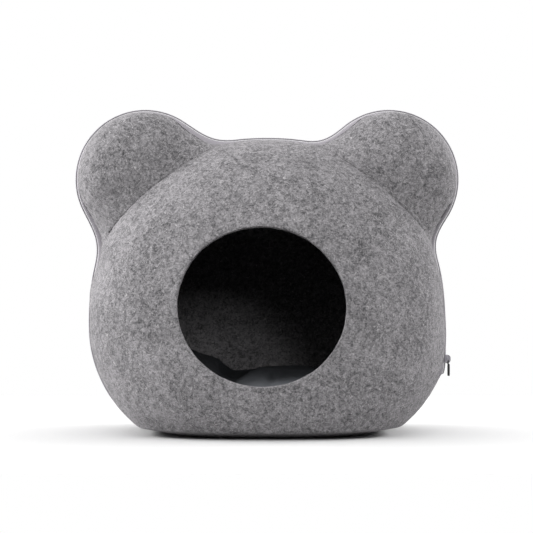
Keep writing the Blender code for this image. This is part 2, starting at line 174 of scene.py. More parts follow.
# Slider and pull, finer: how square their outlines are, and how their edges are rounded
PLATE_SIDES = 40
PLATE_SQUARENESS = 3.2
PLATE_TAPER = 0.13  # how much narrower the plate's lower end is
PLATE_TAPER_POWER = 1.5
PLATE_EDGE = 0.00045
FLANGE_INSET = 0.0002
FLANGE_LOW = 0.86  # shares of the plate's half length
FLANGE_HIGH = 0.9
FLANGE_EDGE = 0.0004
ARCH_STEPS = 20
ARCH_LENGTH_SHARE = 0.98
ARCH_SQUARENESS = 2.5
ARCH_OPENING_SQUARENESS = 3
ARCH_EDGE = 0.0007
TAB_SIDES = 36
TAB_SQUARENESS = 4
TAB_EDGE = 0.0009
TAB_EDGE_SEGMENTS = 4
BAR_EDGE = 0.0005
EDGE_SEGMENTS = 3
EDGE_ANGLE = math.radians(30)  # edges sharper than this are rounded

# Cushion
CUSHION_HALF_WIDTH = 0.152
CUSHION_HALF_DEPTH = 0.118
CUSHION_SQUARENESS = 2.7
CUSHION_EDGE_Z = 0.034
CUSHION_CROWN_Z = 0.077
CUSHION_SIDES = 160
CUSHION_CLEARANCE = 0.0010  # above the felt that it lies on
CUSHION_LOWER_RINGS = ((0.40, 0.0), (0.62, 0.0), (0.74, 0.07), (0.82, 0.20), (0.90, 0.34),
                       (0.955, 0.50), (0.985, 0.72))  # share of the radius, share of the height
CUSHION_TOP_RINGS = 44
CUSHION_RING_CROWDING = 1.3
CUSHION_SHRINK = 0.0045  # what the cloth simulation gives back
CUSHION_VOXEL = 0.004
CUSHION_SWELL = 0.0045  # furthest that a point of it may move
CUSHION_FRAMES = 20
PAD_WAVES = ((0.060, 0.0009), (0.024, 0.0004))
PAD_WAVES_Z = 0.03  # height at which they are full

# Cushion's top: pairs are where a form sets in and where it is full, across the cushion or deep
CROWN_SQUARENESS = 4.5
CROWN_POWER = 0.5
FOLD_SLANT = 0.10  # the folds slant to the right towards the back
FOLD_SLANT_Y = -0.03
LOBE_HEIGHT = 0.004  # of the lobe that rides up the left wall, at its edge
LOBE_STEPS = ((0.008, 0.053, 0.067), (0.030, 0.060, 0.120))  # its rise in two steps
LOBE_EDGE = (0.0535, 0.0575)
VALLEY_DEPTH = 0.0135  # of the valley beside the lobe
VALLEY_LEFT = (-0.0575, -0.0535)
VALLEY_RIGHT = (-0.038, -0.010)
VALLEY_FRONT = (-0.125, -0.085)
VALLEY_BACK = (0.02, 0.10)
PLEATS = ((0.0080, 0.008, -0.08, -0.04), (0.0015, 0.034, -0.10, -0.05))  # depth, place, y range
PLEAT_HALF_WIDTH = 0.006
RIGHT_DROP = 0.0020  # how much lower the right side lies
RIGHT_DROP_RANGE = (0.030, 0.075)
FOLD_FADE_POWER = 4

# Camera: it looks level at the cave from straight ahead
CAMERA_DISTANCE = 3.0
CAMERA_AIM = (-0.0006, 0.0, 0.198)
FIELD_WIDTH = 0.64026  # width that the picture takes in at the aim
SENSOR = 36.0

# Light that the surroundings give: from the front, and then from above, the left and the right,
# each with its axis, the direction's part along it where it sets in and is full, and its level
WORLD_FRONT = 0.03
WORLD_SIDES = (("Z", -0.05, 0.75, 0.72), ("X", -0.35, -1.0, 0.15), ("X", 0.35, 1.0, 0.10))

# Floor, in two pieces that meet at FLOOR_SPLIT_Y
FLOOR_HALF_WIDTH = 1.6
FLOOR_FRONT_Y = -0.62
FLOOR_SPLIT_Y = -0.30
FLOOR_BACK_Y = 0.80
FLOOR_Z = -0.0002

# Lamps: name, place, point aimed at, width, height, power in watts, and what alone they light
LAMPS = (
    ("overhead", (0.0, 0.25, 2.2), (0, 0.25, 0.0), 3.6, 1.8, 15.0, "floor"),
    ("floor_left", (-1.5, 0.35, 0.65), (0, 0, 0), 0.9, 0.5, 18.0, "floor"),
    ("floor_right", (1.5, 0.35, 0.65), (0, 0, 0), 0.9, 0.5, 18.0, "floor"),
    ("top", (0.0, 0.1, 2.0), (0, 0.0, 0.1), 2.4, 2.0, 4.0, "cave"),
    ("left", (-1.9, -0.6, 0.9), (0, 0, 0.18), 0.9, 1.3, 15.5, "cave"),
    ("left_rim", (-1.8, 0.25, 0.9), (0, 0, 0.2), 1.2, 1.0, 35.0, "cave"),
    ("right", (1.7, -0.8, 1.0), (0.1, 0, 0.3), 0.6, 1.2, 4.5, "cave"),
    ("right_rim", (1.6, 0.8, 0.8), (0, 0, 0.2), 1.2, 1.0, 15.0, "cave"),
    ("front", (0.15, -1.85, 1.5), (0, -0.1, 0.15), 0.9, 0.5, 28.0, "outside"),
    ("inside", (0.44, -2.25, 0.94), (0, -0.165, 0.15), 0.42, 0.42, 8.5, "back"),
    ("pad", (-0.67, -0.87, 2.0), (0, -0.12, 0.07), 0.34, 0.34, 50.0, "pad"),
)

# Colours
FELT_DARK = (0.040, 0.040, 0.042, 1)
FELT_LIGHT = (0.345, 0.333, 0.346, 1)
FIBRE_DARK = (0.040, 0.041, 0.043, 1)
FIBRE_LIGHT = (0.640, 0.618, 0.632, 1)
FIBRE_SMALL = (0.560, 0.540, 0.552, 1)
FELT_SHEEN = (0.97, 0.93, 0.97, 1.0)
TAPE_DARK = (0.290, 0.274, 0.300, 1)
TAPE_LIGHT = (0.420, 0.399, 0.432, 1)
COIL_DARK = (0.270, 0.252, 0.284, 1)
COIL_LIGHT = (0.380, 0.360, 0.392, 1)
PAINT_DARK = (0.235, 0.222, 0.250, 1)
PAINT_LIGHT = (0.300, 0.288, 0.315, 1)
RUBBER_DARK = (0.008, 0.008, 0.009, 1)
RUBBER_LIGHT = (0.020, 0.020, 0.022, 1)
CLOTH_DARK = (0.048, 0.052, 0.058, 1)
CLOTH_LIGHT = (0.105, 0.110, 0.122, 1)
CLOTH_SHEEN = (0.80, 0.86, 1.0, 1.0)
FLOOR_DARK = (0.890, 0.890, 0.890, 1)
FLOOR_LIGHT = (0.900, 0.900, 0.900, 1)
WHITE = (1.0, 1.0, 1.0, 1.0)

rng = np.random.default_rng(7)


# -------- meshes

def mesh_object(name, points, faces, material, smooth=True):
    mesh = bpy.data.meshes.new(name)
    mesh.from_pydata(np.asarray(points, dtype=float).tolist(), [], faces)
    mesh.validate()
    mesh.materials.append(material)
    if smooth:
        mesh.shade_smooth()
    obj = bpy.data.objects.new(name, mesh)
    bpy.context.scene.collection.objects.link(obj)
    return obj


def apply_modifiers(obj):
    """Replaces the object's mesh by the one that its modifiers make."""
    bpy.context.view_layer.update()
    graph = bpy.context.evaluated_depsgraph_get()
    made = bpy.data.meshes.new_from_object(obj.evaluated_get(graph), depsgraph=graph)
    obj.modifiers.clear()
    obj.data = made


def grid_faces(rows, count, closed=True, wrap=False):
    """Quads between rows of count points each; closed joins each row's ends, wrap the rows'."""
    faces = []
    for row in range(rows if wrap else rows - 1):
        after = (row + 1) % rows
        for i in range(count if closed else count - 1):
            j = (i + 1) % count
            faces.append((row * count + i, row * count + j, after * count + j, after * count + i))
    return faces


def ease(value, low, high):
    """0 below low, 1 above high, and a smooth step between."""
    step = np.clip((value - low) / (high - low), 0, 1)
    return step * step * (3 - 2 * step)


def bell(value, middle, reach):
    """1 at the middle, and next to nothing two reaches away."""
    return np.exp(-((value - middle) / reach) ** 2)


def unit(vectors):
    return vectors / np.maximum(np.linalg.norm(vectors, axis=-1, keepdims=True), 1e-12)


def waves(points, kinds, count):
    """A smooth random field: for each kind, waves of one length in random directions."""
    total = np.zeros(points.shape[:-1])
    for length, height in kinds:
        directions = unit(rng.normal(size=(count, 3))) * 2 * math.pi / length
        phases = rng.uniform(0, 2 * math.pi, count)
        for direction, phase in zip(directions, phases):
            total += height / math.sqrt(count / 2) * np.sin(points @ direction + phase)
    return total


# -------- outline in the zip's plane

def lean(x, z):
    """How far the lower body is pushed to the right."""
    left = LEAN_LEFT * (1 - ease(z, LEAN_LOW_Z, LEAN_LEFT_HIGH_Z))
    right = LEAN_RIGHT * (1 - ease(z, LEAN_LOW_Z, LEAN_RIGHT_HIGH_Z))
    return left + (right - left) * ease(x, -LEAN_HALF_X, LEAN_HALF_X)


def tail_share(x, z):
    """1 where the zip's end, which isn't sewn down at the right, stands out most."""
    rise = ease(z, TAIL_LOW_Z, TAIL_FULL_Z) * (1 - ease(z, TAIL_FULL_Z, TAIL_HIGH_Z))
    return np.where(x > 0, rise, 0)


def head_fraction(x, z):
    """0 in the middle of the head, 1 on its outline."""
    x = x - lean(x, z)
    half_height = np.where(z > HEAD_WIDEST_Z, HEAD_RISE, HEAD_DROP)
    across = np.abs(x) / HEAD_HALF_WIDTH
    up = np.abs(z - HEAD_WIDEST_Z) / half_height
    return (across ** HEAD_SQUARENESS + up ** HEAD_SQUARENESS) ** (1 / HEAD_SQUARENESS)


def outline_distance(x, z, fillet, inset=0):
    """Roughly the distance outside the outline of head and ears, blended and set in."""
    fraction = np.maximum(head_fraction(x, z), 1e-6)
    head = np.hypot(x, z - HEAD_WIDEST_Z) * (fraction - 1) / fraction
    ear = np.hypot(np.abs(x) - EAR_X, z - EAR_Z) - EAR_RADIUS
    overlap = np.maximum(fillet - np.abs(head - ear), 0) / fillet
    at_neck = 1 - ease(np.abs(head - ear), *NECK_RANGE)
    set_in = inset * np.maximum(np.maximum(at_neck, tail_share(x, z)), PLAIN_SHARE)
    return np.minimum(head, ear) - overlap ** 2 * fillet / 4 + set_in


def outline_points(angle, fillet, inset=0):
    """Points of the outline at angles above the horizontal, seen from the door's middle."""
    inside = np.full_like(angle, SEARCH_FROM)
    outside = np.full_like(angle, SEARCH_TO)
    for _ in range(SEARCH_STEPS):
        middle = (inside + outside) / 2
        x = DOOR_X + middle * np.cos(angle)
        z = DOOR_Z + middle * np.sin(angle)
        is_in = outline_distance(x, z, fillet, inset) < 0
        inside = np.where(is_in, middle, inside)
        outside = np.where(is_in, outside, middle)
    x = DOOR_X + inside * np.cos(angle)
    return np.stack([x, DOOR_Z + inside * np.sin(angle)], axis=1)


def lengths(points):
    """Length of a line of points up to each of them."""
    return np.concatenate([[0], np.cumsum(np.linalg.norm(np.diff(points, axis=0), axis=1))])


def even_angles(count):
    """Angles of sections spaced evenly along the outline, all the way round from the bottom."""
    fine = np.linspace(-math.pi / 2, math.pi * 1.5, TRACE_POINTS)
    length = lengths(outline_points(fine, FELT_FILLET, FELT_INSET))
    return np.interp(np.linspace(0, length[-1], count + 1)[:-1], length, fine)


def outward_normals(points):
    """Unit normals of a closed outline that runs anticlockwise."""
    along = unit(np.roll(points, -1, axis=0) - np.roll(points, 1, axis=0))
    return np.stack([along[:, 1], -along[:, 0]], axis=1)


# -------- felt shells

def rim_depth(z):
    """Distance of a felt rim from the zip's plane: open beside the zip, sewn under the cave."""
    return SEAM_GAP + (RIM_GAP - SEAM_GAP) * ease(z, SEAM_LOW_Z, SEAM_TOP_Z)


def head_depth(x, z):
    """Distance of the head's moulded face from the zip's band, above one point of its plane."""
    fraction = np.clip(head_fraction(x, z), 0, 1)
    clear = np.maximum(fraction, LEAST_FRACTION)
    downward = ease((HEAD_WIDEST_Z - z) / HEAD_DROP / clear, *DOWNWARD_EASE)
    upward = ease((z - HEAD_WIDEST_Z) / HEAD_RISE / clear, *UPWARD_EASE)
    fullness = (SIDE_FULLNESS + (FLOOR_FULLNESS - SIDE_FULLNESS) * downward
                + (TOP_FULLNESS - SIDE_FULLNESS) * upward)
    return (HEAD_DEPTH - BAND_DEPTH) * (1 - fraction ** fullness) ** (1 / fullness)


def ear_depth(x, z, outline):
    """The same for the pad that shows at the ears; it rounds over from the outline inward."""
    points = np.stack([x, z], axis=-1)[..., None, :]
    apart = np.linalg.norm(points - outline, axis=-1).min(axis=-1)
    inward = np.clip(1 - apart / EAR_ROUNDING, 0, 1)
    bulge = EAR_BULGE * ease(apart, *EAR_BULGE_RANGE)
    return bulge + (EAR_DEPTH - BAND_DEPTH) * (1 - inward ** EAR_FULLNESS) ** (1 / EAR_FULLNESS)


def underside(x, y):
    """Height of the lowest felt above the floor."""
    reach = (np.abs(x) ** REST_SQUARENESS + np.abs(y) ** REST_SQUARENESS) ** (1 / REST_SQUARENESS)
    slope = EDGE_LIFT / (EDGE_HALF_SIZE - REST_HALF_SIZE)
    return np.maximum(reach - REST_HALF_SIZE, 0) * slope


def press_flat(x, y, z):
    """Raises what lies below the underside, and rounds the edge where the two meet."""
    floor = underside(x, y)
    overlap = np.maximum(EDGE_ROUNDING - np.abs(z - floor), 0) / EDGE_ROUNDING
    rounding = overlap ** 2 * EDGE_ROUNDING / 4 * ease(floor, 0, EDGE_LIFT)
    return np.maximum(z, floor) + rounding


def inner_ring(angles, half_width, half_height):
    """The ellipse at which a shell ends, with a point in each section's direction."""
    turned = angles - DOOR_TILT
    radius = 1 / np.hypot(np.cos(turned) / half_width, np.sin(turned) / half_height)
    x = DOOR_X + radius * np.cos(angles)
    return np.stack([x, DOOR_Z + radius * np.sin(angles)], axis=1)


def edge_steps(outline, last_ring, dense):
    """How far in each section's last edge lies: the ear's crease, or the lower edge."""
    steps = np.linspace(0, 1, FINE_STEPS)
    found = np.full(len(outline), PLAIN_EDGE)
    for i, (start, end) in enumerate(zip(outline, last_ring)):
        x, z = start[:, None] + (end - start)[:, None] * steps
        head = head_depth(x, z)
        ear = ear_depth(x, z, dense)
        before = np.maximum(ear - head, underside(x, BAND_DEPTH + head) - z)
        last = np.flatnonzero(before > 0)
        if len(last) and last[-1] > 0:
            k = last[-1]
            exact = steps[k] + (steps[k + 1] - steps[k]) * before[k] / (before[k] - before[k + 1])
            found[i] = max(exact, PLAIN_EDGE)
    return found


def shell_rings(angles, last_ring):
    """Rings of points from the rim to the last ring; y is the distance from the zip's plane."""
    outline = outline_points(angles, FELT_FILLET, FELT_INSET)
    dense = outline_points(np.linspace(-math.pi, math.pi, DENSE_POINTS), FELT_FILLET, FELT_INSET)
    edge = edge_steps(outline, last_ring, dense)
    even = np.linspace(0, 1, OUTER_RINGS + 1)
    outer = [edge * (1 - (1 - step ** RING_CROWDING) ** CREASE_CROWDING) for step in even]
    even = np.linspace(0, 1, INNER_RINGS + 1)
    inner = [edge + (1 - edge) * step ** CREASE_CROWDING for step in even]
    x, z = outline.T
    rings = []
    for part in BAND_PARTS:
        y = rim_depth(z) + (BAND_DEPTH - rim_depth(z)) * part
        rings.append(np.stack([x, y, press_flat(x, y, z)], axis=1))
    for steps in outer + inner[1:]:
        x, z = (outline + (last_ring - outline) * steps[:, None]).T
        head = head_depth(x, z)
        ear = ear_depth(x, z, dense) * (steps > 0)
        deeper = np.maximum(np.maximum(head, ear), 1e-6)
        scaled = (head / deeper) ** EAR_CREASE + (ear / deeper) ** EAR_CREASE
        groove = CREASE_GROOVE * bell(head - ear, 0, CREASE_REACH) * ease(deeper, *GROOVE_RANGE)
        y = BAND_DEPTH + deeper * scaled ** (1 / EAR_CREASE) - groove
        rings.append(np.stack([x, y, press_flat(x, y, z)], axis=1))
    return np.stack(rings)


def grid_normals(grid):
    """Unit normals of a grid of rings, outward for rings that run anticlockwise and inward."""
    along = np.roll(grid, -1, axis=1) - np.roll(grid, 1, axis=1)
    inward = np.gradient(grid, axis=0)
    return unit(np.cross(inward, along))


def smoothed(normals, times):
    """The same normals, averaged with their neighbours."""
    for _ in range(times):
        padded = np.concatenate([normals[:1], normals, normals[-1:]])
        beside = np.roll(normals, 1, axis=1) + np.roll(normals, -1, axis=1)
        normals = unit(padded[:-2] + padded[2:] + beside + 2 * normals)
    return normals


def cut_edge(outer, inner):
    """Four rows round a cut edge, from the outer face to the inner one; rows run to the edge."""
    back = CUT_ROUNDING
    through = unit(inner[-1] - outer[-1])
    return [outer[-1] + unit(outer[-2] - outer[-1]) * back, outer[-1] + through * back,
            inner[-1] - through * back, inner[-1] + unit(inner[-2] - inner[-1]) * back]


def build_shell(name, side, last_ring, capped, material):
    """A felt half shell; side is -1 in front of the zip's plane and +1 behind it."""
    outer = shell_rings(angles, last_ring)
    normals = grid_normals(outer)
    away = ease(outer[..., 1], BAND_DEPTH, BAND_DEPTH + WAVES_FADE)
    off_floor = ease(outer[..., 2], *WAVES_FLOOR_RANGE)
    uneven = waves(outer * (1, side, 1), FELT_WAVES, WAVES_EACH)
    outer = outer + normals * (uneven * away * off_floor)[..., None]
    inner = outer - smoothed(grid_normals(outer), INNER_SMOOTHING) * FELT
    rim = cut_edge(outer[::-1], inner[::-1])
    rows = [*rim[::-1], *outer[1:-1]]
    count = outer.shape[1]
    if capped:
        rows.append(outer[-1])
        last_outer = (len(rows) - 1) * count
        first_inner = last_outer + count
        rows.extend(inner[:0:-1])
        points = np.concatenate(rows)
        faces = [face for face in grid_faces(len(rows), count, wrap=True)
                 if not last_outer <= face[0] < first_inner]
        for first, way in ((last_outer, 1), (first_inner, -1)):
            ring = points[first:first + count]
            points = np.concatenate([points, [ring.mean(axis=0)]])
            for i in range(count):
                edge = (first + i, first + (i + 1) % count)[::way]
                faces.append((*edge, len(points) - 1))
    else:
        door = cut_edge(outer, inner)
        rows += [*door, *inner[-2:0:-1]]
        points = np.concatenate(rows)
        faces = grid_faces(len(rows), count, wrap=True)
    if side > 0:
        faces = [face[::-1] for face in faces]
    return mesh_object(name, points * (1, side, 1), faces, material)


angles = even_angles(STATIONS)


# -------- zip

def zip_sections(count):
    """Felt outline, zip line, normal and length so far, at even steps from right to left.

    If count is None, there is a step for each tooth.
    """
    fine = even_angles(LINE_FINENESS * STATIONS)
    felt = outline_points(fine, FELT_FILLET, FELT_INSET)
    normals = outward_normals(felt)
    left = outline_points(fine, TAPE_FILLET_LEFT)
    taut = np.where(left[:, :1] < 0, left, outline_points(fine, TAPE_FILLET_RIGHT))
    stand_off = TAIL_HEIGHT * tail_share(felt[:, 0], felt[:, 1]) + TAPE_STAND_OFF
    line = taut + normals * stand_off[:, None]
    kept = felt[:, 1] > TAPE_END_Z
    felt, line, normals = felt[kept], line[kept], normals[kept]
    length = lengths(line)
    if count is None:
        count = int(length[-1] / TOOTH_PITCH)
    at = np.linspace(0, length[-1], count)

    def resample(values):
        return np.stack([np.interp(at, length, values[:, axis]) for axis in range(2)], axis=1)

    return resample(felt), resample(line), unit(resample(normals)), at


def add_strip_uv(obj, along, across):
    """Lays the grid's own length and width out as its texture space, in metres."""
    layer = obj.data.uv_layers.new(name="strip")
    corner = np.empty(len(obj.data.loops), dtype=int)
    obj.data.loops.foreach_get("vertex_index", corner)
    uv = np.stack([along[corner], across[corner]], axis=1)
    layer.data.foreach_set("uv", uv.ravel())


def build_tape(name, side, material):
    """A woven tape, sewn in behind the felt, then out to the coil; with its width and length."""
    felt, line, normals, at = zip_sections(TAPE_STATIONS)
    behind = felt - normals * (FELT + TAPE_CLEARANCE + TAPE)
    leg_top = RIM_GAP - 2 * TAPE
    columns = [(0.0, RIM_GAP + TAPE_LEG - step) for step in TAPE_LEG_COLUMNS]
    for step in TAPE_BEND_COLUMNS:
        columns.append((ease(step, 0, 1), leg_top + (TAPE_FLAT_HALF - leg_top) * step))
    columns += [(1.0, y) for y in TAPE_FLAT_COLUMNS]
    points, along, across = [], [], []
    width = 0
    before = None
    for out, y in columns:
        place = behind + (line - behind) * out
        row = np.stack([place[:, 0], np.full(len(place), side * y), place[:, 1]], axis=1)
        if before is not None:
            width += float(np.linalg.norm(row - before, axis=1).mean())
        before = row
        points.append(row)
        along.append(at)
        across.append(np.full(len(at), width))
    faces = grid_faces(len(columns), len(felt), closed=False)
    if side < 0:
        faces = [face[::-1] for face in faces]
    tape = mesh_object(name, np.concatenate(points), faces, material)
    add_strip_uv(tape, np.concatenate(along), np.concatenate(across))
    thick = tape.modifiers.new("Thickness", "SOLIDIFY")
    thick.thickness = TAPE
    thick.offset = 0
    apply_modifiers(tape)
    return tape, width, float(at[-1])


def coil_centre(line, normals):
    return line + normals * (TAPE / 2 + FIT_GAP + COIL_HALF_HEIGHT)


def tooth_points():
    """A small rounded bar along Y with one thick end, as rows of points round it."""
    rows = []
    for place, size in TOOTH_SHAPE:
        y = place * TOOTH_HALF_LENGTH
        ring = []
        for i in range(TOOTH_SIDES):
            turn = 2 * math.pi * (i + 0.5) / TOOTH_SIDES
            ring.append((size * math.cos(turn), y, size * math.sin(turn)))
        rows.append(ring)
    return np.array(rows)


def build_coil(material):
    """The closed coil: teeth of both sides in turn, on one flat core."""
    _, line, normals, _ = zip_sections(None)
    centres = coil_centre(line, normals)
    tangents = unit(np.gradient(centres, axis=0))
    model = tooth_points()
    rows = len(model)
    caps = [tuple(range(TOOTH_SIDES)),
            tuple(range(rows * TOOTH_SIDES - 1, (rows - 1) * TOOTH_SIDES - 1, -1))]
    tooth_faces = np.array(grid_faces(rows, TOOTH_SIDES))
    points, faces = [], []
    for i in range(1, len(centres) - 1):
        side = 1 if i % 2 else -1
        local = model.reshape(-1, 3) * (TOOTH_HALF_THICKNESS, -side, TOOTH_HALF_HEIGHT)
        local[:, 1] += side * (COIL_HALF_WIDTH - TOOTH_HALF_LENGTH)
        world = (np.array([centres[i, 0], 0, centres[i, 1]])
                 + local[:, :1] * (tangents[i, 0], 0, tangents[i, 1])
                 + local[:, 1:2] * (0, 1, 0)
                 + local[:, 2:] * (normals[i, 0], 0, normals[i, 1]))
        first = sum(map(len, points))
        made = (tooth_faces + first).tolist() + [[first + v for v in cap] for cap in caps]
        faces += made if side < 0 else [face[::-1] for face in made]
        points.append(world)
    core = []
    for turn in np.linspace(0, 2 * math.pi, CORE_SIDES, endpoint=False):
        out = centres + normals * (CORE_HALF_HEIGHT * math.sin(turn))
        y = np.full(len(centres), CORE_HALF_WIDTH * math.cos(turn))
        core.append(np.stack([out[:, 0], y, out[:, 1]], axis=1))
    first = sum(map(len, points))
    count = len(centres)
    core_faces = np.array(grid_faces(CORE_SIDES, count, closed=False, wrap=True)) + first
    faces += core_faces.tolist()
    faces.append([first + k * count for k in range(CORE_SIDES)])
    faces.append([first + k * count + count - 1 for k in range(CORE_SIDES - 1, -1, -1)])
    points += core
    return mesh_object("coil", np.concatenate(points), faces, material)


def slider_frame():
    """Matrix of the slider: local X outward, Y along world Y, Z up the zip."""
    _, line, normals, _ = zip_sections(TAPE_STATIONS)
    reach = np.where(line[:, 0] > 0, np.abs(line[:, 1] - SLIDER_Z), 1)
    nearest = int(np.argmin(reach))
    along = line[nearest + SLIDER_REACH] - line[nearest - SLIDER_REACH]
    up = Vector((along[0], 0, along[1])).normalized()
    outward = Vector((normals[nearest, 0], 0, normals[nearest, 1]))
    outward = (outward - up * outward.dot(up)).normalized()
    middle = coil_centre(line, normals)[nearest]
    matrix = Matrix((outward, (0, 1, 0), up)).transposed().to_4x4()
    matrix.translation = (middle[0], 0, middle[1])
    return matrix


def rounded_prism(name, outline, low, high, axis, edge, material, segments=EDGE_SEGMENTS):
    """The outline's points, swept along a local axis from low to high, with rounded edges."""
    count = len(outline)
    points = []
    for level in (low, high):
        for a, b in outline:
            point = [a, b]
            point.insert(axis, level)
            points.append(point)
    faces = grid_faces(2, count)
    faces.append(tuple(range(count - 1, -1, -1)))
    faces.append(tuple(range(count, 2 * count)))
    if axis == 1:
        faces = [face[::-1] for face in faces]
    obj = mesh_object(name, points, faces, material)
    bevel = obj.modifiers.new("Edges", "BEVEL")
    bevel.width = edge
    bevel.segments = segments
    bevel.limit_method = "ANGLE"
    bevel.angle_limit = EDGE_ANGLE
    apply_modifiers(obj)
    obj.data.shade_smooth()
    return obj


def join(objects, name):
    """Joins meshes into the first object."""
    with bpy.context.temp_override(active_object=objects[0], object=objects[0],
                                   selected_objects=objects, selected_editable_objects=objects):
        bpy.ops.object.join()
    objects[0].name = objects[0].data.name = name
    return objects[0]


def rounded_square(turn, squareness):
    """The point of a unit square with round corners, as cosine and sine are of a circle."""
    across = math.cos(turn)
    up = math.sin(turn)
    reach = (abs(across) ** squareness + abs(up) ** squareness) ** (-1 / squareness)
    return across * reach, up * reach


def build_slider(material):
    """A waisted top plate, two flanges that wrap the coil, and an arch that holds the pull."""
    half = SLIDER_LENGTH / 2
    wide = SLIDER_WIDTH / 2
    low = COIL_HALF_HEIGHT + FIT_GAP
    top = low + PLATE
    middle = low + PLATE / 2
    plate_outline = []
    for i in range(PLATE_SIDES):
        across, up = rounded_square(2 * math.pi * i / PLATE_SIDES, PLATE_SQUARENESS)
        taper = 1 - PLATE_TAPER * max(0.0, -up) ** PLATE_TAPER_POWER
        plate_outline.append((wide * across * taper, half * up))
    pieces = [rounded_prism("slider_plate", plate_outline, low, top, 0, PLATE_EDGE, material)]
    for side in (-1, 1):
        y = sorted((side * (COIL_HALF_WIDTH + FIT_GAP), side * (wide - FLANGE_INSET)))
        outline = [(-COIL_HALF_HEIGHT, -half * FLANGE_LOW), (middle, -half * FLANGE_LOW),
                   (middle, half * FLANGE_HIGH), (-COIL_HALF_HEIGHT, half * FLANGE_HIGH)]
        pieces.append(rounded_prism("slider_flange", outline, *y, 1, FLANGE_EDGE, material))
    turns = [math.pi * i / ARCH_STEPS for i in range(ARCH_STEPS + 1)]
    arch_outline = []
    for turn in turns:
        along, out = rounded_square(turn, ARCH_SQUARENESS)
        arch_outline.append((middle + (top - middle + ARCH_HEIGHT) * out,
                             half * ARCH_LENGTH_SHARE * along))
    for turn in turns[::-1]:
        along, out = rounded_square(turn, ARCH_OPENING_SQUARENESS)
        arch_outline.append((middle + (top - middle + ARCH_OPENING_HEIGHT) * out,
                             (ARCH_OPEN - ARCH_OPENING_LENGTH + ARCH_OPEN * along) / 2))
    pieces.append(rounded_prism("slider_arch", arch_outline, -ARCH_WIDTH / 2, ARCH_WIDTH / 2, 1,
                                ARCH_EDGE, material))
    slider = join(pieces, "slider")
    slider.data.transform(slider_frame())
    return slider


def build_pull(material):
    """A moulded tab that hangs from a bar under the slider's arch."""
    top = COIL_HALF_HEIGHT + FIT_GAP + PLATE
    bar_out = top + ARCH_OPENING_HEIGHT / 2
    bar_down = -ARCH_OPENING_LENGTH / 2 + PULL_BAR / 2 + FIT_GAP
    place = slider_frame() @ Vector((bar_out, 0, bar_down))
    half_bar = PULL_BAR / 2
    wide = PULL_WIDTH / 2
    tab_top = -SLIDER_LENGTH / 2 - bar_down - 4 * FIT_GAP
    window = ARCH_WIDTH / 2 + 2 * FIT_GAP
    frame_outline = [(-wide, half_bar), (-wide, tab_top), (-window, tab_top), (-window, -half_bar),
                     (window, -half_bar), (window, tab_top), (wide, tab_top), (wide, half_bar)]
    bar = rounded_prism("pull_bar", frame_outline, -half_bar, half_bar, 0, BAR_EDGE, material)
    tab_outline = []
    middle = (tab_top + half_bar - PULL_LENGTH) / 2
    half_long = (tab_top + half_bar + PULL_LENGTH) / 2
    for i in range(TAB_SIDES):
        across, up = rounded_square(2 * math.pi * i / TAB_SIDES, TAB_SQUARENESS)
        tab_outline.append((wide * across, middle + half_long * up))
    tab = rounded_prism("pull_tab", tab_outline, -half_bar, PULL_THICKNESS - half_bar, 0,
                        TAB_EDGE, material, TAB_EDGE_SEGMENTS)
    pull = join([bar, tab], "pull")
    pull.data.transform(Matrix.Translation(place))
    return pull


# -------- cushion

def cushion_radius(turn):
    across = np.abs(np.cos(turn) / CUSHION_HALF_WIDTH) ** CUSHION_SQUARENESS
    deep = np.abs(np.sin(turn) / CUSHION_HALF_DEPTH) ** CUSHION_SQUARENESS
    return (across + deep) ** (-1 / CUSHION_SQUARENESS)


def cushion_top(x, y, fraction):
    """Height of the upper side: a crown, a lobe that rides up the wall, and folds beside it."""
    dome = (1 - fraction ** CROWN_SQUARENESS) ** CROWN_POWER
    across = x - FOLD_SLANT * (y - FOLD_SLANT_Y)
    lobe = LOBE_HEIGHT + sum(rise * ease(-across, low, high) for rise, low, high in LOBE_STEPS)
    valley = VALLEY_DEPTH * ease(across, *VALLEY_LEFT) * (1 - ease(across, *VALLEY_RIGHT))
    between = ease(y, *VALLEY_FRONT) * (1 - ease(y, *VALLEY_BACK))
    shaped = (lobe * ease(-across, *LOBE_EDGE) - valley) * between
    for depth, place, front_y, back_y in PLEATS:
        pleat = 1 - ease(np.abs(across - place), 0, PLEAT_HALF_WIDTH)
        shaped = shaped - depth * pleat * (1 - ease(y, front_y, back_y))
    shaped = shaped - RIGHT_DROP * ease(across, *RIGHT_DROP_RANGE)
    height = CUSHION_EDGE_Z + (CUSHION_CROWN_Z - CUSHION_EDGE_Z) * dome
    return height + shaped * (1 - fraction ** FOLD_FADE_POWER)


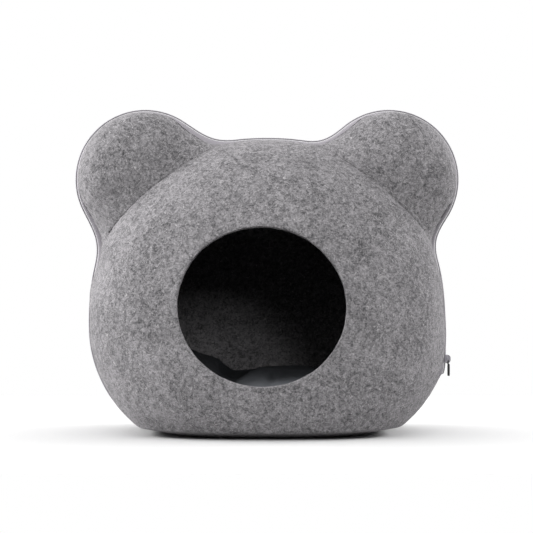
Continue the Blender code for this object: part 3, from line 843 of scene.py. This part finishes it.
def plump(obj, floor):
    """Lets the pad's cover swell and pucker a little, as cloth, and keeps the result."""
    voxels = obj.modifiers.new("Voxels", "REMESH")
    voxels.mode = "VOXEL"
    voxels.voxel_size = CUSHION_VOXEL
    apply_modifiers(obj)
    count = len(obj.data.vertices)
    start = np.empty(count * 3)
    obj.data.vertices.foreach_get("co", start)
    moved = start.copy()
    cloth = obj.modifiers.new("Cover", "CLOTH")
    cloth.settings.quality = 5
    cloth.settings.mass = 0.25
    cloth.settings.use_pressure = True
    cloth.settings.uniform_pressure_force = 3.0
    cloth.settings.shrink_min = -0.05
    cloth.settings.bending_stiffness = 0.3
    cloth.settings.effector_weights.gravity = 0
    cloth.collision_settings.use_collision = False
    cloth.point_cache.frame_end = CUSHION_FRAMES
    for number in range(1, CUSHION_FRAMES + 1):
        bpy.context.scene.frame_set(number)
    graph = bpy.context.evaluated_depsgraph_get()
    obj.evaluated_get(graph).data.vertices.foreach_get("co", moved)
    obj.modifiers.clear()
    bpy.context.scene.frame_set(1)
    start = start.reshape(-1, 3)
    step = moved.reshape(-1, 3) - start
    far = np.linalg.norm(step, axis=1, keepdims=True)
    step *= np.minimum(1, CUSHION_SWELL / np.maximum(far, 1e-9))
    points = start + step
    uneven = waves(points, PAD_WAVES, WAVES_EACH)
    points[:, 2] += uneven * ease(points[:, 2], floor, PAD_WAVES_Z)
    points[:, 2] = np.maximum(points[:, 2], floor)
    obj.data.vertices.foreach_set("co", points.ravel())
    finer = obj.modifiers.new("Finer", "SUBSURF")
    finer.levels = finer.render_levels = 1
    apply_modifiers(obj)
    obj.data.shade_smooth()


def build_cushion(material):
    """One filled pad: flat below, drawn in at its edge, crowned above."""
    turns = np.linspace(0, 2 * math.pi, CUSHION_SIDES, endpoint=False)
    radius = cushion_radius(turns) - CUSHION_SHRINK
    bottom = FELT + FIT_GAP + CUSHION_CLEARANCE
    rows = []
    for fraction, height in CUSHION_LOWER_RINGS:
        level = np.full(CUSHION_SIDES, bottom + (CUSHION_EDGE_Z - bottom) * height)
        rows.append(np.stack([radius * fraction * np.cos(turns),
                              radius * fraction * np.sin(turns), level], axis=1))
    top_steps = np.linspace(0, 1, CUSHION_TOP_RINGS, endpoint=False)
    for fraction in 1 - top_steps ** CUSHION_RING_CROWDING:
        x = radius * fraction * np.cos(turns)
        y = radius * fraction * np.sin(turns)
        rows.append(np.stack([x, y, cushion_top(x, y, fraction) - CUSHION_SHRINK], axis=1))
    top = cushion_top(0.0, 0.0, 0.0) - CUSHION_SHRINK
    points = np.concatenate([*rows, [(0, 0, top)]])
    count = CUSHION_SIDES
    faces = grid_faces(len(rows), count)
    faces.append(tuple(range(count - 1, -1, -1)))
    first = (len(rows) - 1) * count
    faces += [(first + i, first + (i + 1) % count, len(points) - 1) for i in range(count)]
    cushion = mesh_object("pad", points, faces, material)
    plump(cushion, bottom)
    return cushion


# -------- materials

class Graph:
    """A new material or world, to which it adds nodes and links."""

    def __init__(self, name, kind=bpy.data.materials, shader="Principled BSDF"):
        self.owner = kind.new(name)
        self.owner.use_nodes = True
        self.tree = self.owner.node_tree
        self.shader = self.tree.nodes[shader]

    def put(self, node, name, value):
        """Links a socket into an input, or sets the input's own value."""
        socket = node.inputs[name]
        if isinstance(value, bpy.types.NodeSocket):
            self.tree.links.new(value, socket)
        else:
            socket.default_value = value

    def put_all(self, node, values):
        """The same for inputs by name, with underscores for the names' spaces."""
        for name, value in values.items():
            self.put(node, name.replace("_", " "), value)

    def set(self, **values):
        self.put_all(self.shader, values)

    def node(self, kind, **values):
        node = self.tree.nodes.new("ShaderNode" + kind)
        self.put_all(node, values)
        return node

    def place(self, kind="Object"):
        return self.node("TexCoord").outputs[kind]

    def stretch(self, vector, scale):
        return self.node("Mapping", Vector=vector, Scale=scale).outputs[0]

    def noise(self, vector, scale, detail=2.0, roughness=0.5, distortion=0.0):
        return self.node("TexNoise", Vector=vector, Scale=scale, Detail=detail,
                         Roughness=roughness, Distortion=distortion).outputs[0]

    def wave(self, vector, scale, direction, distortion=0.0):
        node = self.node("TexWave", Vector=vector, Scale=scale, Distortion=distortion)
        node.bands_direction = direction
        return node.outputs["Fac"]

    def math(self, operation, a, b, c=0.0):
        node = self.node("Math")
        node.operation = operation
        for index, value in enumerate((a, b, c)):
            self.put(node, index, value)
        return node.outputs[0]

    def remap(self, value, low, high, to_low=0.0, to_high=1.0):
        node = self.node("MapRange", Value=value)
        node.interpolation_type = "SMOOTHSTEP"
        for name, limit in (("From Min", low), ("From Max", high),
                            ("To Min", to_low), ("To Max", to_high)):
            self.put(node, name, limit)
        return node.outputs[0]

    def blend(self, factor, a, b):
        node = self.node("Mix")
        node.data_type = "RGBA"
        for index, value in ((0, factor), (6, a), (7, b)):
            self.put(node, index, value)
        return node.outputs[2]

    def bump(self, height, distance, strength):
        return self.node("Bump", Height=height, Distance=distance, Strength=strength).outputs[0]

    def finish(self, color, normal=None, roughness=None):
        self.put(self.shader, "Base Color", color)
        if normal is not None:
            self.put(self.shader, "Normal", normal)
        if roughness is not None:
            self.put(self.shader, "Roughness", roughness)
        return self.owner


def strands(graph, place, scale, width, distortion):
    """1 on short curling fibres and 0 between them."""
    value = graph.noise(place, scale, detail=1.5, distortion=distortion)
    off_line = graph.math("ABSOLUTE", graph.math("SUBTRACT", value, 0.5), 0.0)
    line = graph.remap(off_line, 0.0, width, 1.0, 0.0)
    broken = graph.remap(graph.noise(place, scale * 0.9, detail=1.0), 0.46, 0.60)
    return graph.math("MULTIPLY", line, broken)


def felt_material():
    """Heathered felt: dark and light fibres matted together, a little patchy."""
    g = Graph("felt_heather")
    place = g.place()
    patchy = g.noise(place, scale=26.0)
    clumps = g.noise(place, scale=170.0, detail=3.0, roughness=0.65, distortion=0.6)
    fine = g.noise(place, scale=480.0, roughness=0.65, distortion=0.8)
    light = strands(g, place, scale=230.0, width=0.028, distortion=1.4)
    curled = g.stretch(place, (1.0, 1.2, 0.9))
    light_small = strands(g, curled, scale=400.0, width=0.045, distortion=1.6)
    upright = g.stretch(place, (0.9, 1.0, 1.3))
    dark = g.remap(g.noise(upright, scale=380.0, roughness=0.55, distortion=1.0), 0.54, 0.66)
    tone = 0.0
    for layer, low, high, share in ((clumps, 0.34, 0.66, 0.42), (fine, 0.34, 0.66, 0.42),
                                    (patchy, 0.3, 0.7, 0.16)):
        tone = g.math("MULTIPLY_ADD", g.remap(layer, low, high), share, tone)
    base = g.blend(tone, FELT_DARK, FELT_LIGHT)
    for fibres, share, color in ((dark, 0.65, FIBRE_DARK), (light, 0.70, FIBRE_LIGHT),
                                 (light_small, 0.50, FIBRE_SMALL)):
        base = g.blend(g.math("MULTIPLY", fibres, share), base, color)
    height = g.math("ADD", g.math("MULTIPLY", light, 0.6), g.math("MULTIPLY", fine, 1.1))
    height = g.math("ADD", height, g.math("MULTIPLY", clumps, 1.2))
    g.set(Roughness=0.95, Sheen_Weight=0.22, Sheen_Roughness=0.45, Sheen_Tint=FELT_SHEEN,
          Specular_IOR_Level=0.15)
    return g.finish(base, g.bump(height, distance=0.0006, strength=0.9))


def tape_material():
    """Woven tape: fine ribs along its length, crossed by the weft."""
    g = Graph("tape_weave")
    place = g.place("UV")
    ribs = g.wave(place, scale=260.0, direction="Y", distortion=0.4)
    weft = g.wave(place, scale=420.0, direction="X", distortion=0.6)
    weave = g.math("MULTIPLY", ribs, g.math("MULTIPLY_ADD", weft, 0.5, 0.5))
    soft = g.noise(g.place(), scale=90.0)
    tone = g.math("MULTIPLY_ADD", soft, 0.35, g.math("MULTIPLY", weave, 0.65))
    g.set(Roughness=0.75, Sheen_Weight=0.15, Sheen_Roughness=0.5)
    normal = g.bump(weave, distance=0.00015, strength=0.6)
    return g.finish(g.blend(tone, TAPE_DARK, TAPE_LIGHT), normal)


def coil_material():
    """Nylon of the coil: a little shine, lighter and rougher in patches."""
    g = Graph("coil_nylon")
    worn = g.noise(g.place(), scale=300.0, detail=3.0, roughness=0.6)
    g.set(Specular_IOR_Level=0.4)
    normal = g.bump(worn, distance=0.00008, strength=0.4)
    roughness = g.remap(worn, 0.3, 0.7, to_low=0.38, to_high=0.55)
    return g.finish(g.blend(worn, COIL_DARK, COIL_LIGHT), normal, roughness)


def slider_material():
    """Painted metal with faint orange peel."""
    g = Graph("slider_paint")
    peel = g.noise(g.place(), scale=900.0)
    patch = g.noise(g.place(), scale=160.0, detail=3.0)
    g.set(Coat_Weight=0.3, Coat_Roughness=0.25)
    normal = g.bump(peel, distance=0.00006, strength=0.3)
    roughness = g.remap(patch, 0.3, 0.7, to_low=0.30, to_high=0.45)
    return g.finish(g.blend(patch, PAINT_DARK, PAINT_LIGHT), normal, roughness)


def pull_material():
    """Black moulded rubber with cross ribs."""
    g = Graph("pull_rubber")
    ribs = g.wave(g.place(), scale=330.0, direction="Z")
    dust = g.noise(g.place(), scale=500.0, detail=3.0)
    normal = g.bump(ribs, distance=0.0002, strength=0.6)
    roughness = g.remap(dust, 0.3, 0.7, to_low=0.5, to_high=0.7)
    return g.finish(g.blend(dust, RUBBER_DARK, RUBBER_LIGHT), normal, roughness)


def cushion_material():
    """Charcoal brushed cloth with a bluish cast and a fine weave."""
    g = Graph("cushion_cloth")
    place = g.place()
    warp = g.wave(place, scale=330.0, direction="X", distortion=0.8)
    weft = g.wave(place, scale=330.0, direction="Y", distortion=0.8)
    weave = g.math("ADD", g.math("MULTIPLY", warp, 0.5), g.math("MULTIPLY", weft, 0.5))
    nap = g.noise(place, scale=70.0, detail=4.0, roughness=0.6)
    tone = g.math("MULTIPLY_ADD", weave, 0.4, g.math("MULTIPLY", nap, 0.6))
    g.set(Roughness=0.85, Sheen_Weight=0.05, Sheen_Roughness=0.4, Sheen_Tint=CLOTH_SHEEN)
    normal = g.bump(weave, distance=0.0003, strength=0.5)
    return g.finish(g.blend(tone, CLOTH_DARK, CLOTH_LIGHT), normal)


def floor_material():
    """Matt white, a little cloudy."""
    g = Graph("studio_floor")
    cloudy = g.noise(g.place(), scale=1.5, detail=1.0)
    g.set(Roughness=0.9, Specular_IOR_Level=0.1)
    return g.finish(g.blend(cloudy, FLOOR_DARK, FLOOR_LIGHT))


# -------- studio

def build_floor():
    """A white floor in two pieces; the front one throws no light back through the door."""
    half = FLOOR_HALF_WIDTH
    material = floor_material()
    pieces = []
    for name, low, high in (("studio_floor", FLOOR_SPLIT_Y, FLOOR_BACK_Y),
                            ("studio_floor_front", FLOOR_FRONT_Y, FLOOR_SPLIT_Y)):
        points = [(-half, low, 0), (half, low, 0), (half, high, 0), (-half, high, 0)]
        piece = mesh_object(name, points, [(0, 1, 2, 3)], material, smooth=False)
        piece.location.z = FLOOR_Z
        pieces.append(piece)
    pieces[1].visible_diffuse = False
    return pieces


def aimed_at(location, target):
    return (Vector(target) - Vector(location)).to_track_quat("-Z", "Y")


def area_light(name, location, target, width, height, power, receivers):
    """A rectangular lamp that lights only its receivers."""
    data = bpy.data.lights.new(name, "AREA")
    data.shape = "RECTANGLE"
    data.size = width
    data.size_y = height
    data.energy = power
    light = bpy.data.objects.new(name, data)
    light.rotation_mode = "QUATERNION"
    light.location = location
    light.rotation_quaternion = aimed_at(location, target)
    bpy.context.scene.collection.objects.link(light)
    lit = bpy.data.collections.new(name + "_lights")
    for obj in receivers:
        lit.objects.link(obj)
    light.light_linking.receiver_collection = lit


def build_world():
    """White where the camera sees it; its light comes from above and the sides, not the front."""
    g = Graph("studio", bpy.data.worlds, "Background")
    parts = g.node("SeparateXYZ", Vector=g.place("Generated")).outputs
    light = WORLD_FRONT
    for part, low, high, level in WORLD_SIDES:
        light = g.math("ADD", g.remap(parts[part], low, high, to_high=level), light)
    is_camera = g.node("LightPath").outputs["Is Camera Ray"]
    g.set(Color=g.blend(is_camera, light, WHITE))
    bpy.context.scene.world = g.owner


def build_studio(outside, inside):
    """The floor has lamps of its own, and so has the inside, dark but for its lower left."""
    floor = build_floor()
    build_world()
    receivers = {"floor": floor, "outside": outside, "cave": outside + inside,
                 "back": inside[:1], "pad": inside[1:]}
    for *lamp, lit in LAMPS:
        area_light(*lamp, receivers[lit])


def build_camera():
    data = bpy.data.cameras.new("camera")
    data.sensor_width = SENSOR
    data.lens = SENSOR * CAMERA_DISTANCE / FIELD_WIDTH
    data.clip_end = 50.0
    camera = bpy.data.objects.new("camera", data)
    aim = Vector(CAMERA_AIM)
    camera.location = aim - Vector((0, CAMERA_DISTANCE, 0))
    camera.rotation_mode = "QUATERNION"
    camera.rotation_quaternion = aimed_at(camera.location, aim)
    bpy.context.scene.collection.objects.link(camera)
    bpy.context.scene.camera = camera


# -------- the part

def stand_for(obj, node):
    """Puts the piece on the body in place of a solid."""
    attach(obj, BODY)
    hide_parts(node)


felt = felt_material()
front = build_shell("front_felt", -1, inner_ring(angles, DOOR_HALF_WIDTH, DOOR_HALF_HEIGHT),
                    False, felt)
back = build_shell("back_felt", 1, inner_ring(angles, BACK_CAP_RADIUS, BACK_CAP_RADIUS),
                   True, felt)
tape_cloth = tape_material()
front_tape, tape_width, tape_length = build_tape("front_tape", -1, tape_cloth)
back_tape, _, _ = build_tape("back_tape", 1, tape_cloth)
coil = build_coil(coil_material())
slider = build_slider(slider_material())
pull = build_pull(pull_material())
pad = build_cushion(cushion_material())

stand_for(front, "front_shell")
stand_for(back, "back_shell")
stand_for(front_tape, "zip_tape_front")
stand_for(back_tape, "zip_tape_back")
stand_for(coil, "zip_coil")
stand_for(slider, "zip_slider")
stand_for(pull, "zip_pull")
stand_for(pad, "cushion")

build_studio([front, front_tape, back_tape, coil, slider, pull], [back, pad])
build_camera()
bpy.context.scene.view_settings.view_transform = "Standard"
